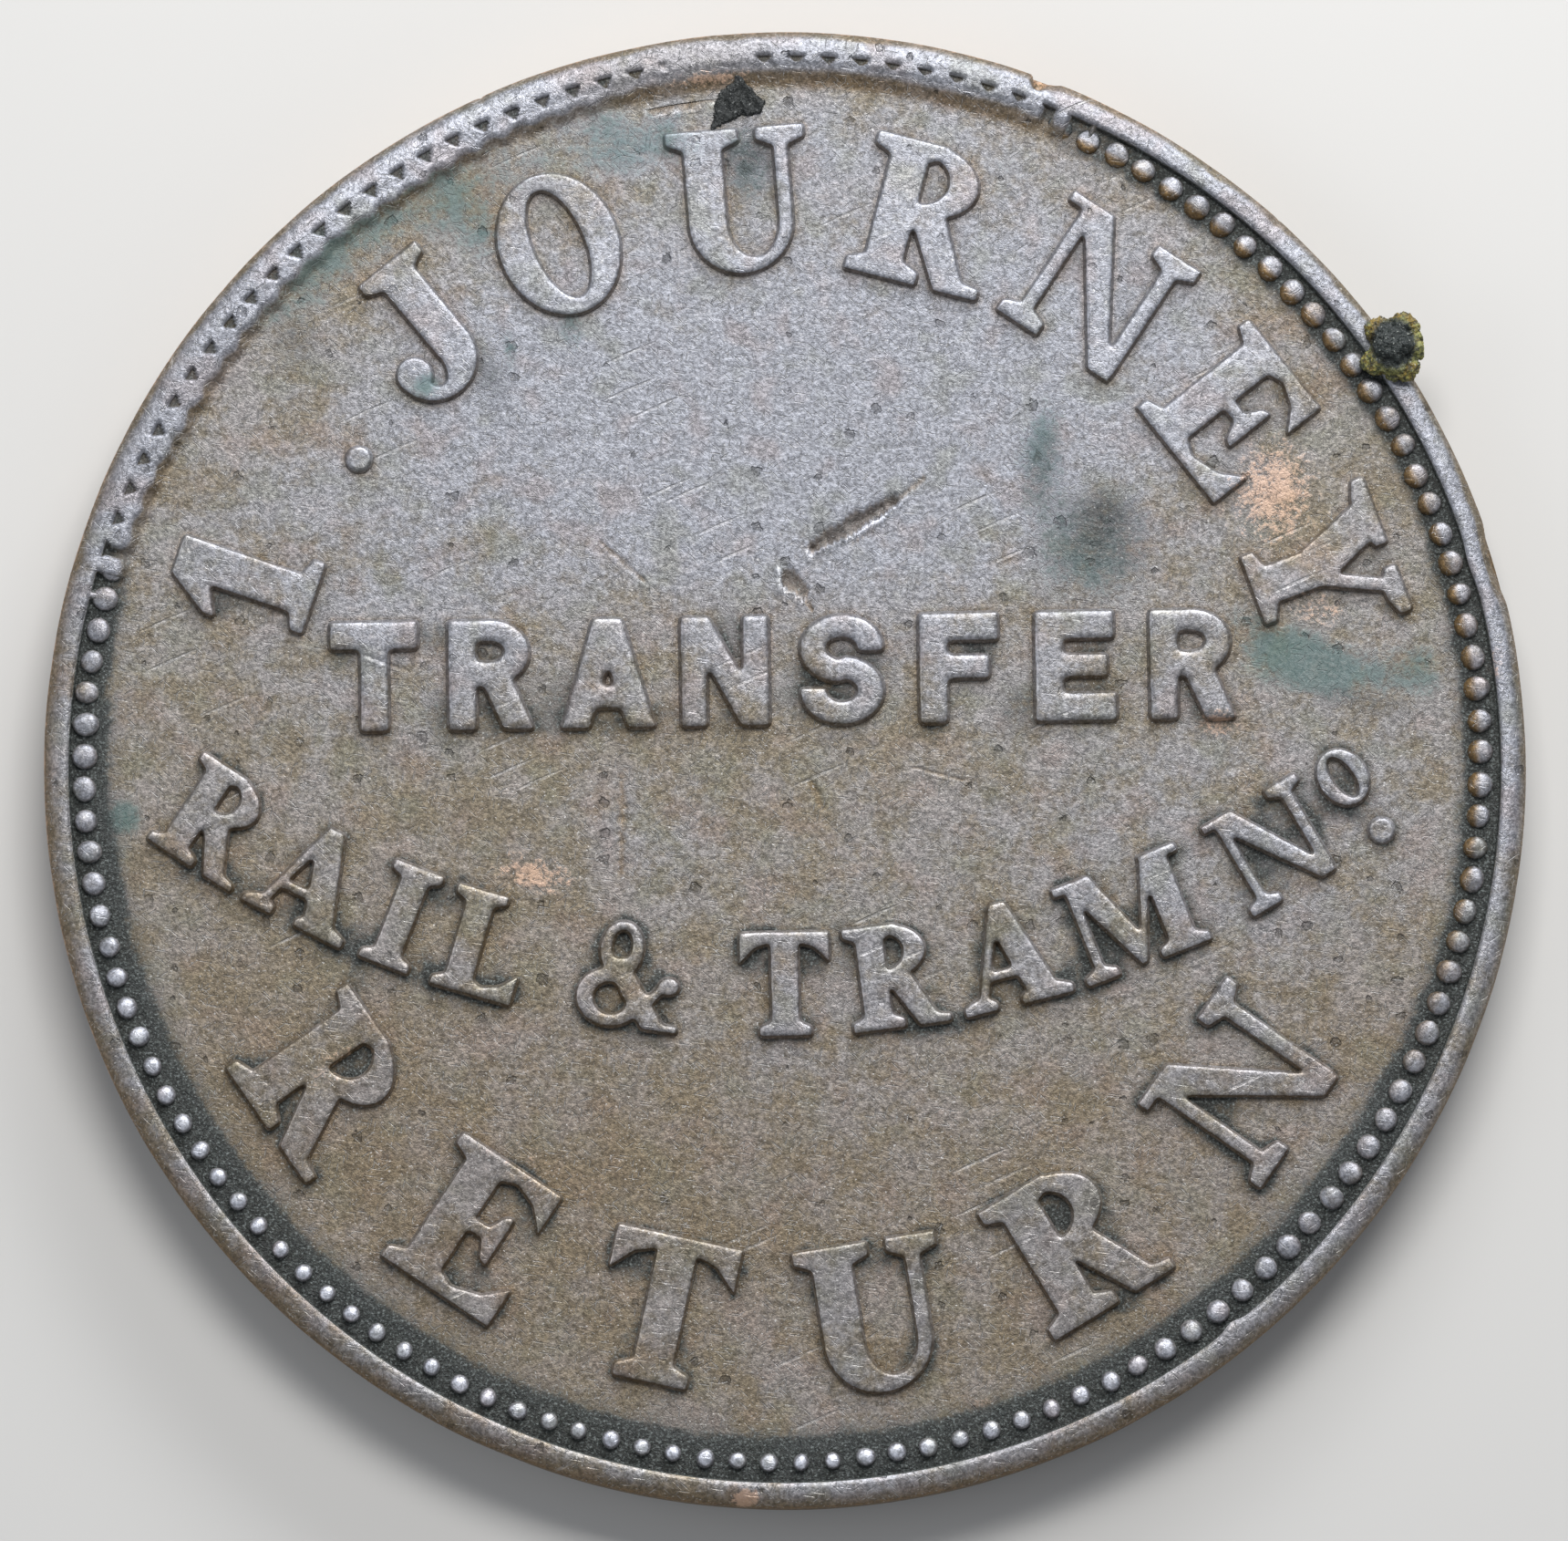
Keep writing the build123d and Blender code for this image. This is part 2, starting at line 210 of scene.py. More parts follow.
class Finish:
    def __init__(self, name):
        self.material = bpy.data.materials.new(name)
        self.material.use_nodes = True
        self.tree = self.material.node_tree
        self.tree.nodes.clear()
        metres = self.node("ShaderNodeTexCoord", out="Object")
        self.place = self.node("ShaderNodeVectorMath", {"operation": "SCALE"}, {0: metres, "Scale": perMetre})

    def node(self, kind, settings=None, sockets=None, out=0):
        made = self.tree.nodes.new(kind)
        for key, value in (settings or {}).items():
            setattr(made, key, value)
        for key, value in (sockets or {}).items():
            if isinstance(value, Wire):
                self.tree.links.new(value.socket, made.inputs[key])
            else:
                made.inputs[key].default_value = value
        return Wire(self, made.outputs[out]) if made.outputs else None

    def cloud(self, perMm, detail=2.0, rough=0.5, shift=0.0):
        moved = self.node("ShaderNodeVectorMath", {"operation": "ADD"}, {
            0: self.place, 1: (shift, shift / 2, shift / 3)})
        return self.node("ShaderNodeTexNoise", None, {
            "Vector": moved, "Scale": perMm, "Detail": detail, "Roughness": rough})

    def cells(self, place, perMm):
        # distance to the nearest cell's middle, and a random number that belongs to the cell
        middle = self.node("ShaderNodeTexVoronoi", {"voronoi_dimensions": "2D"}, {"Vector": place, "Scale": perMm})
        return middle, self.node("ShaderNodeSeparateColor", None, {0: middle.other("Color")})

    def scratches(self, turn, longMm, wideMm, thick, keep):
        # each stretched cell holds one thin line, and some cells are left out
        stretched = self.node("ShaderNodeMapping", {"vector_type": "TEXTURE"}, {
            "Vector": self.place, "Rotation": (0, 0, math.radians(turn)), "Scale": (longMm, wideMm, 1)})
        line, lot = self.cells(stretched, 1.0)
        return self.between(line, thick, thick * 0.35) * self.between(lot, keep + 0.15, keep - 0.15)

    def pits(self, apartMm, share, keep):
        spot, lot = self.cells(self.place, 1 / apartMm)
        size = share * (0.4 + lot.other("Green"))
        ragged = spot + 0.3 * self.cloud(9, 1, 0.5) - size
        return self.between(ragged, 0.16, 0.1) * self.between(lot, keep + 0.05, keep - 0.05)

    def between(self, value, low, high, toLow=0.0, toHigh=1.0):
        return self.node("ShaderNodeMapRange", {"interpolation_type": "SMOOTHSTEP"}, {
            "Value": value, "From Min": low, "From Max": high, "To Min": toLow, "To Max": toHigh})

    def mark(self, name):
        return self.node("ShaderNodeAttribute", {"attribute_name": name}, out="Fac")

    def mix(self, share, a, b, kind="MIX"):
        a = a if isinstance(a, Wire) else (*a, 1)
        b = b if isinstance(b, Wire) else (*b, 1)
        return self.node("ShaderNodeMix", {"data_type": "RGBA", "blend_type": kind}, {0: share, 6: a, 7: b}, out=2)

    def grey(self, value):
        return self.node("ShaderNodeCombineColor", None, {0: value, 1: value, 2: value})

    def bumped(self, height, deepMm):
        return self.node("ShaderNodeBump", None, {
            "Strength": 1.0, "Distance": deepMm / perMetre, "Height": height}, out="Normal")

    def shaded(self, **sockets):
        sockets = {key.replace("_", " "): value for key, value in sockets.items()}
        shader = self.node("ShaderNodeBsdfPrincipled", None, sockets)
        self.node("ShaderNodeOutputMaterial", None, {"Surface": shader})
        return self.material


copperLooks = {
    "olive": (0.156, 0.13, 0.092),
    "lilac": (0.228, 0.234, 0.26),
    "tan": (0.2, 0.146, 0.09),
    "rosy": (0.205, 0.146, 0.124),
    "moss": (0.14, 0.143, 0.105),
    "shadowBrown": (0.135, 0.085, 0.036),
    "grimeDark": (0.012, 0.016, 0.015),
    "grimeLight": (0.075, 0.088, 0.084),
    # painted glints in the dirt
    "grimeGlint": (0.2, 0.225, 0.22),
    "green": (0.035, 0.105, 0.1),
    "bare": (0.55, 0.36, 0.25),
    "scratch": (0.5, 0.49, 0.48),
    "metal": 0.5,
    "rough": 0.42,
    # turn in degrees, length and spacing in mm, share of cells kept
    "scratches": [(24, 6.0, 0.4, 0.15), (-8, 1.4, 0.14, 0.6), (35, 1.2, 0.13, 0.6),
                  (-43, 1.3, 0.13, 0.6), (80, 1.1, 0.13, 0.5)],
    "scratchWidth": 0.13,
    "pits": (0.7, 0.15, 0.16),  # spacing in mm, size, share of cells kept
}


def copperFinish(name, grainDepth, scratchShare):
    f = Finish(name)
    look = copperLooks
    broad = f.cloud(0.12, 3, 0.6)
    patches = f.cloud(0.7, 4, 0.65, 3.1)
    tint = f.cloud(0.8, 2, 0.6, 21.0)
    mottle = f.cloud(4.5, 4, 0.7, 7.7)
    grain = f.cloud(11.0, 3, 0.8, 1.9)
    fleck = f.cloud(17.0, 1, 0.5, 12.3)
    grime, green, bare = f.mark("grime"), f.mark("green"), f.mark("bare")
    crest, brown, glow = f.mark("crest"), f.mark("brown"), f.mark("glow")

    scratches = None
    for turn, longMm, wideMm, keep in look["scratches"]:
        one = f.scratches(turn, longMm, wideMm, look["scratchWidth"], keep)
        scratches = one if scratches is None else scratches | one
    level = f.mark("level") * scratchShare
    scratches = scratches * f.between(mottle, 0.35, 0.6, 0.2, 1.0) * level
    pits = f.pits(*look["pits"]) * level

    # skin colours, with painted sheen, shade and highlights
    # glow turns the colour blue-grey: the skin, and a painted sheen on the upper middle, the rim's top and the low
    # beads
    lilac = f.between(broad * 0.3 + patches * 0.75 + mottle * 0.3 + glow * 0.34, 0.57, 0.93)
    colour = f.mix(lilac, look["olive"], look["lilac"])
    tan = f.between(patches * 0.7 + mottle * 0.3, 0.5, 0.66) * (1 - glow).clamped() * 0.4
    colour = f.mix(tan, colour, look["tan"])
    colour = f.mix(f.between(tint, 0.52, 0.7) * 0.3, colour, look["rosy"])
    colour = f.mix(f.between(tint, 0.48, 0.3) * 0.4, colour, look["moss"])
    # brown: brown patina, and painted shade on slopes that face away from the light and on the lower half
    colour = f.mix(brown.clamped(), colour, look["shadowBrown"])
    # crest brightens the colour: a painted highlight on relief edges, rim and bead tops and gouge lips
    toneAndHighlight = f.between(mottle, 0.3, 0.7, 0.78, 1.2) * f.between(grain, 0.36, 0.64, 0.66, 1.34)
    toneAndHighlight = toneAndHighlight * (1 - 0.45 * pits) * f.between(crest, 0.9, 2.2, 1.03, 2.1)
    colour = f.mix(1.0, colour, f.grey(toneAndHighlight), "MULTIPLY")
    colour = f.mix(f.between(fleck, 0.64, 0.76) * 0.6, colour, look["scratch"])
    colour = f.mix(scratches * 0.45, colour, look["scratch"])

    # bare copper, verdigris and dirt, each broken up by the grain
    mottled, grained = mottle - 0.5, grain - 0.5
    bareHere = f.between(bare + 1.5 * mottled + 1.6 * grained, 0.45, 0.9) * f.between(bare, 0.05, 0.4) * 0.65
    colour = f.mix(bareHere, colour, look["bare"])
    greenHere = f.between(green + 2.2 * (patches - 0.5) + 1.4 * mottled + 1.4 * grained, 0.35, 1.15)
    greenHere = greenHere * f.between(green, 0.03, 0.4) * 0.6
    colour = f.mix(greenHere, colour, look["green"])
    broken = (1.5 * mottled + 1.2 * grained) * f.between(grime, 0.02, 0.3)
    grimeHere = f.between(grime + broken, 0.1, 0.9) * 0.93
    dirt = f.mix(f.between(grain * 0.5 + fleck * 0.5, 0.44, 0.66), look["grimeDark"], look["grimeLight"])
    # light flecks in the dirt are painted glints
    dirt = f.mix(f.between(fleck, 0.58, 0.7) * 0.5, dirt, look["grimeGlint"])
    colour = f.mix(grimeHere, colour, dirt)

    clean = (1 - grimeHere) * (1 - greenHere)
    crest = crest.clamped()
    metallic = clean * (look["metal"] + 0.1 * crest)
    roughness = look["rough"] + grimeHere * 0.12 + greenHere * 0.2 + 0.14 * mottle - 0.06 * crest - 0.08 * scratches
    height = 0.6 * grain + 0.8 * mottle * (1 - 0.5 * crest) - 0.7 * scratches - 0.8 * pits + 2.0 * grime * grain
    return f.shaded(Base_Color=colour, Metallic=metallic.clamped(), Roughness=roughness.clamped(),
                    Normal=f.bumped(height, grainDepth))


finishes = {
    "flan": copperFinish("flanCopper", 0.034, 1.0),
    "relief": copperFinish("reliefCopper", 0.022, 0.6),
}
print("copper ready")


# Marks on the coin: dents, dirt and stains, and painted shade and sheen

damage = {
    # from x, y to x, y, then width, depth and the height of the lips thrown up beside it
    "gouges": [
        (0.67, 5.04, 2.5, 6.1, 0.32, 0.13, 0.055), (2.35, 5.95, 3.24, 6.65, 0.14, 0.03, 0.01),
        (1.5, 5.1, 2.3, 5.58, 0.1, 0.02, 0.008), (0.05, 4.4, 0.36, 4.02, 0.4, 0.11, 0.055),
        (0.42, 3.9, 0.62, 3.6, 0.14, 0.04, 0.01), (-4.25, 5.17, -3.22, 4.25, 0.14, 0.022, 0.01),
        (-3.72, -0.1, -3.75, -2.5, 0.17, 0.035, 0.012), (0.6, -0.4, 0.85, -0.95, 0.22, 0.03, 0.01),
        (3.0, -0.05, 4.1, -0.35, 0.1, 0.02, 0.01), (-9.6, 2.5, -8.6, 2.15, 0.1, 0.015, 0.006),
        (-3.1, 15.15, -1.7, 15.42, 0.26, 0.035, 0.03), (-1.5, 16.25, -0.5, 15.65, 0.14, 0.05, 0.02),
    ],
    # bearing, half width in degrees and depth of the nicks in the rim
    "rimNicks": [
        (13.5, 0.4, 0.04), (20.3, 0.55, 0.26), (21.4, 0.9, 0.1), (35.5, 1.3, 0.05), (42.0, 0.45, 0.07),
        (68.0, 0.5, 0.03), (74.0, 3.6, 0.14), (141.5, 0.8, 0.05), (232.0, 1.2, 0.03), (303.5, 0.5, 0.04),
        (310.5, 0.5, 0.04), (317.5, 0.4, 0.05), (330.0, 0.5, 0.05), (335.6, 0.4, 0.08), (355.5, 0.7, 0.06),
    ],
}

stains = {
    # x, y, half width, half height, turn in degrees, strength
    "green": [
        (-10.6, 11.6, 1.7, 0.7, 42, 0.8), (-7.9, 13.2, 1.5, 0.7, 28, 0.75), (-3.6, 14.4, 1.9, 0.7, 8, 0.85),
        (-6.9, 12.4, 0.6, 0.8, 20, 0.7), (-8.24, 8.74, 0.3, 0.3, 0, 1.1), (-6.35, 9.66, 0.14, 0.45, 0, 0.8),
        (-0.9, 13.7, 0.4, 0.8, 0, 0.8), (5.9, 7.2, 0.45, 1.0, -10, 1.0), (7.1, 4.9, 1.1, 1.0, 30, 0.85),
        (12.2, 2.3, 1.4, 0.55, -14, 1.3), (14.5, 2.3, 0.6, 0.5, 0, 0.9), (11.0, 3.1, 0.9, 0.5, -30, 0.6),
        (-15.15, -1.2, 0.3, 0.3, 0, 1.5), (1.4, 14.6, 1.3, 0.4, -4, 0.3), (-4.9, 10.0, 0.3, 0.5, 20, 0.5),
        (5.3, 13.7, 1.2, 0.5, -22, 0.3), (-15.3, -4.8, 0.5, 1.6, 14, 0.5), (-9.0, -13.0, 1.2, 0.5, -40, 0.4),
    ],
    "bare": [
        (11.2, 6.3, 0.9, 1.1, 0, 0.9), (9.9, 1.0, 0.5, 0.3, 0, 0.8), (-5.7, -2.5, 0.9, 0.4, -15, 0.8),
        (4.5, -14.6, 0.4, 0.2, 0, 0.7), (12.2, 3.6, 0.8, 0.5, 0, 0.6), (-0.9, -16.75, 0.25, 0.16, 0, 1.6),
        (-10.0, -6.8, 1.0, 0.5, 20, 0.5), (-6.0, -9.2, 0.8, 0.8, 0, 0.4), (16.2, 2.2, 0.3, 0.6, 0, 0.6),
        (-1.7, 15.86, 1.0, 0.2, 6, 0.7),
    ],
    "grime": [
        (7.2, 5.2, 1.1, 1.0, 0, 0.5), (7.4, 5.9, 0.5, 0.4, 0, 0.3), (5.9, 7.0, 0.4, 0.9, -10, 0.4),
        (-0.9, 13.9, 0.5, 0.7, 0, 0.5), (13.3, 1.5, 1.2, 0.3, -10, 0.35), (-5.0, 1.6, 0.5, 0.5, 0, 0.35),
        (5.3, 1.3, 0.4, 0.6, 0, 0.4), (-7.9, 1.2, 0.4, 0.5, 0, 0.4), (-6.9, 9.1, 0.4, 0.8, 30, 0.4),
        (-11.2, 9.8, 0.5, 0.7, 30, 0.35),
    ],
    # where the blue-grey skin lies over the brown; the large patches over the upper middle and top are a painted sheen
    "glow": [
        (0.5, 8.2, 6.5, 3.6, 0, 1.0), (-1.5, 5.2, 4.5, 1.3, 0, 0.15), (4.2, 2.0, 3.5, 1.4, 0, 0.15),
        (6.5, -1.8, 3.0, 1.2, -10, 0.14), (9.6, -0.6, 2.4, 1.4, 0, 0.15), (-6.0, 9.0, 2.5, 1.8, 0, 0.5),
        (7.0, 10.5, 3.0, 1.6, -20, 0.5), (-3.5, -1.4, 1.6, 1.2, 0, 0.25), (-1.0, -6.5, 2.5, 0.8, 0, 0.2),
        (-9.5, 4.5, 2.5, 3.0, 0, 0.25), (11.5, -3.5, 1.6, 1.0, 0, 0.1), (0.0, 14.5, 5.0, 0.8, 0, 0.5),
    ],
    # brown patina; the broad patch over the lower half is painted shade, darker where the light falls off
    "brown": [
        (0.0, -10.5, 15.0, 5.5, 0, 0.26), (-12.0, -8.0, 4.0, 5.0, 0, 0.12), (-8.0, -2.8, 2.0, 1.2, 0, 0.06),
        (0.0, 3.5, 3.5, 0.5, 0, 0.14), (12.8, -5.6, 1.2, 1.6, 0, 0.2), (-3.0, 0.3, 1.6, 0.8, 0, 0.12),
        (9.5, -9.0, 2.5, 1.5, 0, 0.1), (-6.5, -9.0, 2.5, 2.0, 0, 0.1),
    ],
}


def stainAt(kind, x, y):
    total = np.zeros(len(x))
    for cx, cy, halfWide, halfHigh, turn, strength in stains[kind]:
        c, s = math.cos(math.radians(turn)), math.sin(math.radians(turn))
        u = ((x - cx) * c + (y - cy) * s) / halfWide
        v = ((y - cy) * c - (x - cx) * s) / halfHigh
        total += strength * np.exp(-(u * u + v * v) * 0.7)
    return total


def gougeAt(x, y):
    total = np.zeros(len(x))
    uneven = 1 + 0.45 * ripple(x, y, 0.3, 72)
    for ax, ay, bx, by, width, depth, lip in damage["gouges"]:
        dx, dy = bx - ax, by - ay
        along = np.clip(((x - ax) * dx + (y - ay) * dy) / (dx * dx + dy * dy), 0, 1)
        taper = 0.55 + 0.45 * np.sin(np.pi * (0.1 + 0.8 * along))
        far = np.hypot(x - ax - along * dx, y - ay - along * dy) / (width / 2 * taper * uneven)
        below = ((x - ax) * dy - (y - ay) * dx) / math.hypot(dx, dy) / width
        ridge = lip * np.exp(-((far - 1.4) / 0.5) ** 2) * smooth(-0.3, 0.4, below)
        total += (ridge - depth * np.exp(-far ** 4)) * (far < 3)
    close = np.abs(total) > 1e-4
    total[close] *= 1 + 0.7 * ripple(x[close], y[close], 0.16, 71)
    return total


def waveAt(x, y):
    return 0.014 * ripple(x, y, 6, 1) + 0.006 * ripple(x, y, 2.2, 2)


def nickAt(angle):
    return sum(depth * np.exp(-(apart(angle, at) / half) ** 2) for at, half, depth in damage["rimNicks"])


# Making pieces

markNames = ("grime", "green", "bare", "crest", "brown", "glow")


def levelAt(nz):
    return smooth(0.2, 0.6, np.abs(nz))  # scratches stay off the upright faces


def columns(mesh, what="co"):
    flat = np.empty(len(mesh.vertices) * 3)
    mesh.vertices.foreach_get(what, flat)
    return flat.reshape(-1, 3).T


def makePiece(bm, name, finish, node, shape=None, marks=None):
    mesh = bpy.data.meshes.new(name)
    bm.to_mesh(mesh)
    bm.free()
    if shape:
        moved = np.stack(shape(*columns(mesh)), axis=1)
        mesh.vertices.foreach_set("co", moved.ravel())
        mesh.update()
    mesh.shade_smooth()
    mesh.set_sharp_from_angle(angle=math.radians(50))
    if marks:
        normals = columns(mesh, "normal")
        found = marks(*columns(mesh), *normals)
        found.setdefault("level", levelAt(normals[2]))
        for key, column in found.items():
            layer = mesh.attributes.new(key, "FLOAT", "POINT")
            layer.data.foreach_set("value", np.broadcast_to(column, len(mesh.vertices)).astype(np.float32))
    mesh.transform(Matrix.Scale(1 / perMetre, 4))
    mesh.materials.append(finish)
    piece = bpy.data.objects.new(name, mesh)
    bpy.context.scene.collection.objects.link(piece)
    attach(piece, "root")
    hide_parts(node)
    return piece


def remeshed(node, size, ready=None):
    # a CAD node's copy, merged and turned into an even skin
    bm = bmesh.new()
    bm.from_mesh(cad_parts[node].data)
    bmesh.ops.scale(bm, vec=(perMetre,) * 3, verts=bm.verts)
    bmesh.ops.remove_doubles(bm, verts=bm.verts, dist=1e-4)
    if ready:
        ready(bm)
    plain = bpy.data.meshes.new(node + "Plain")
    bm.to_mesh(plain)
    bm.free()
    holder = bpy.data.objects.new(node + "Plain", plain)
    bpy.context.scene.collection.objects.link(holder)
    skin = holder.modifiers.new("skin", "REMESH")
    skin.mode = "VOXEL"
    skin.voxel_size = size
    found = bpy.data.meshes.new_from_object(holder.evaluated_get(bpy.context.evaluated_depsgraph_get()))
    bpy.data.objects.remove(holder)
    bm = bmesh.new()
    bm.from_mesh(found)
    return bm


def rubbed(bm, times):
    for _ in range(times):
        bmesh.ops.smooth_vert(bm, verts=bm.verts, factor=0.5, use_axis_x=True, use_axis_y=True, use_axis_z=True)
    bm.normal_update()


# Raised letters, stops and leaves, worn from the CAD solids

wear = {
    "skin": 0.04,
    "backSkin": 0.06,
    "sink": 0.16,  # how far the relief reaches into the field
    "flare": 0.055,  # how far its foot spreads
    "rubs": 6,
    "softRubs": {"centreLegend": 18, "middleLegend": 9},  # the lines worn rounder
    "swell": 1.15,  # makes up for the height that the extra rubbing takes
    "stopTop": 0.75,  # height of the stops as a share of the letters
    "lump": 0.006,
    "ownGlow": 0.22,  # the relief is a little bluer than the field
}

footStep = 0.08
footPoints = {1: set(), -1: set()}  # where relief meets the field, on the obverse and the reverse


def groundOf(side):
    return coin["field"] if side > 0 else coin["backField"]


def wornRelief(name, node, side):
    ground = groundOf(side)
    isStop = "Stop" in name
    rise = coin["letterRise"] * (wear["stopTop"] if isStop else 1)

    def sinkFoot(bm):
        for vertex in bm.verts:
            if abs(vertex.co.z - ground) < 1e-3:
                vertex.co.z -= side * wear["sink"]

    bm = remeshed(node, wear["skin"] if side > 0 else wear["backSkin"], sinkFoot)
    rubbed(bm, wear["softRubs"].get(name, wear["rubs"]))
    swell = wear["swell"] if name in wear["softRubs"] else 1
    for vertex in bm.verts:
        up = side * (vertex.co.z - ground) / rise
        outward = Vector((vertex.normal.x, vertex.normal.y, 0))
        vertex.co += outward * wear["flare"] * float(smooth(0.85, -0.1, up)) ** 1.6
        if -0.1 < up < 0.15:
            footPoints[side].add((round(vertex.co.x / footStep), round(vertex.co.y / footStep)))

    def shape(x, y, z):
        up = side * (z - ground)
        lump = wear["lump"] * (ripple(x, y, 0.3, 11) + 1.6 * ripple(x, y, 0.9, 12)) * smooth(0.2, 0.8, up / rise)
        cut = gougeAt(x, y) if side > 0 else 0
        flat = (rise * smooth(-0.02, 0.09, up) - up) * smooth(-0.04, 0.01, up) * isStop
        return x, y, z + side * (waveAt(x, y) + lump + cut + flat + (swell - 1) * np.maximum(up, 0))

    def marks(x, y, z, nx, ny, nz):
        up = side * (z - ground) / rise
        lean = 1 - np.abs(nz)
        front = side > 0
        dirty = smooth(6, -3, y) if front else 0.8
        patchy = np.clip(0.6 + 1.3 * ripple(x, y, 0.8, 21), 0, 1.3)
        # edge: the upper edges that face the top of the coin, which get a painted highlight
        edge = smooth(0.01, 0.08, lean) * smooth(0.45, 0.25, lean) * smooth(-0.4, 0.5, ny - 0.3 * nx) * patchy
        return {
            "grime": smooth(0.2 + 0.25 * dirty, 0.0, up) * (0.15 + 0.5 * dirty) * patchy,
            "green": stainAt("green", x, y) * front,
            "bare": stainAt("bare", x, y) * front,
            "crest": smooth(0.55, 0.85, up) * (1 + edge),
            # brown on the slopes, most on those facing the bottom of the coin, is painted shade; the stains add brown
            # patina and painted shade
            "brown": (smooth(0.25, 0.75, lean) * (0.15 + 0.5 * smooth(0.3, -0.5, ny))
                      + 0.6 * stainAt("brown", x, y) * front),
            "glow": stainAt("glow", x, y) * front + wear["ownGlow"],
        }

    return makePiece(bm, name, finishes["relief"], node, shape, marks)


obverseRelief = {
    "upperNumeral": "upper_numeral",
    "upperStop": "upper_stop",
    "upperLegend": "upper_legend",
    "centreLegend": "centre_legend",
    "middleLegend": "middle_legend",
    "superiorLetter": "superior_letter",
    "superiorStop": "superior_stop",
    "lowerLegend": "lower_legend",
}
reverseRelief = {
    "wreathRightBranch": "wreath_right_branch",
    "wreathLeftBranch": "wreath_left_branch",
    "wreathKnot": "wreath_knot",
    "wreathBerries": "wreath_berries",
    "reverseNumeral": "reverse_numeral",
    "reverseLegend": "reverse_legend",
}

for name, node in obverseRelief.items():
    wornRelief(name, node, 1)
for name, node in reverseRelief.items():
    wornRelief(name, node, -1)
print("relief ready")


# Border: bead ring, rim, and the stretch where they run together

border = {
    "beads": 137,
    "ringRadius": 16.0,
    "offset": (-0.05, 0.07),  # the strike was off centre
    "phase": -0.2,
    "channelInner": 15.68,
    "rimInner": 16.37,
    "shoulder": 0.3,
    "stepsPerBead": 14,
    "backStepsPerBead": 6,
    "top": 16.36,  # where the band reaches the rim's own height
    "bandRise": 0.225,
    # bearing, degrees from it with the full effect, degrees past which there is none
    "merged": (334.5, 42.5, 54.5),  # beads and rim are one
    "leaning": (8, 14, 26),  # the rim slopes down to the field
    "lowDirt": (195, 45, 105),
    "rightDirt": (103, 15, 45),
    "lowBeads": (200, 25, 75),  # where they are smaller, and their tops get a painted highlight
    "shadedBeads": (45, 45, 85),  # where their inner halves get painted shade in brown
    # where the rim's top gets a painted reflection in blue-grey
    "shine": (40, 25, 75),
    # where the rim's inner edge gets a painted highlight
    "lip": (190, 35, 70),
    "bareWall": (320, 60, 110),
    # where the outer shoulder gets painted shade in brown
    "shadedOuter": (215, 50, 120),
    # where the rim's top gets painted shade in brown
    "shadedTop": (351, 4, 11),
    "crown": 0.07,  # how far the rim's top falls away to the outside
    # bearing, reach in degrees and how much the rim's top is brightened, a painted highlight
    "rimSheen": [(328, 20, 0.34), (105, 65, 0.22), (185, 25, 0.18)],
}


def mergeAt(angle):
    return facing(angle, *border["merged"])


def leanAt(angle):
    return facing(angle, *border["leaning"])


def gapAt(x, y):
    # 1 in the middle of a bead, -1 half way to the next
    offX, offY = border["offset"]
    return np.cos(np.radians(bearing(x - offX, y - offY) - border["phase"]) * border["beads"])


def bandAt(x, y):
    # height of the stretch where the beads run into the rim, with the pits left between them
    angle, r = bearing(x, y), np.hypot(x, y)
    c = gapAt(x, y)
    lean, top = leanAt(angle), border["top"]
    fill = smooth(-0.2, 0.7, c + 3 * mergeAt(angle) - 1.2)
    wobble = 0.05 * ripple(x, y, 1.5, 5) + 0.03 * ripple(x, y, 0.5, 6)
    flat = smooth(15.64 - 0.05 * c, 16.06 - 0.05 * c, r + wobble)
    leaning = smooth(15.66 - 0.02 * c, 16.3, r + wobble)
    height = blendTo(border["bandRise"], coin["rimRise"], smooth(16.1, top, r)) * blendTo(flat, leaning, lean) * fill
    away = np.degrees(np.arccos(-np.clip(c, -1, 1))) / border["beads"]  # bearing from the middle of the gap
    deep = blendTo(0.23, 0.14, lean) + 0.03 * ripple(x, y, 1.0, 9)
    halfWide = 0.17 * np.clip((r - border["rimInner"] + deep) / deep, 0, 1) + 0.01
    pit = smooth(halfWide + 0.02, halfWide - 0.03, np.radians(away) * 16.2)
    pit = pit * smooth(top - deep, top + 0.04 - deep, r) * smooth(top + 0.06, top, r)
    return height * (1 - 0.6 * pit * smooth(2.5, 4.5, apart(angle, 353.5)))


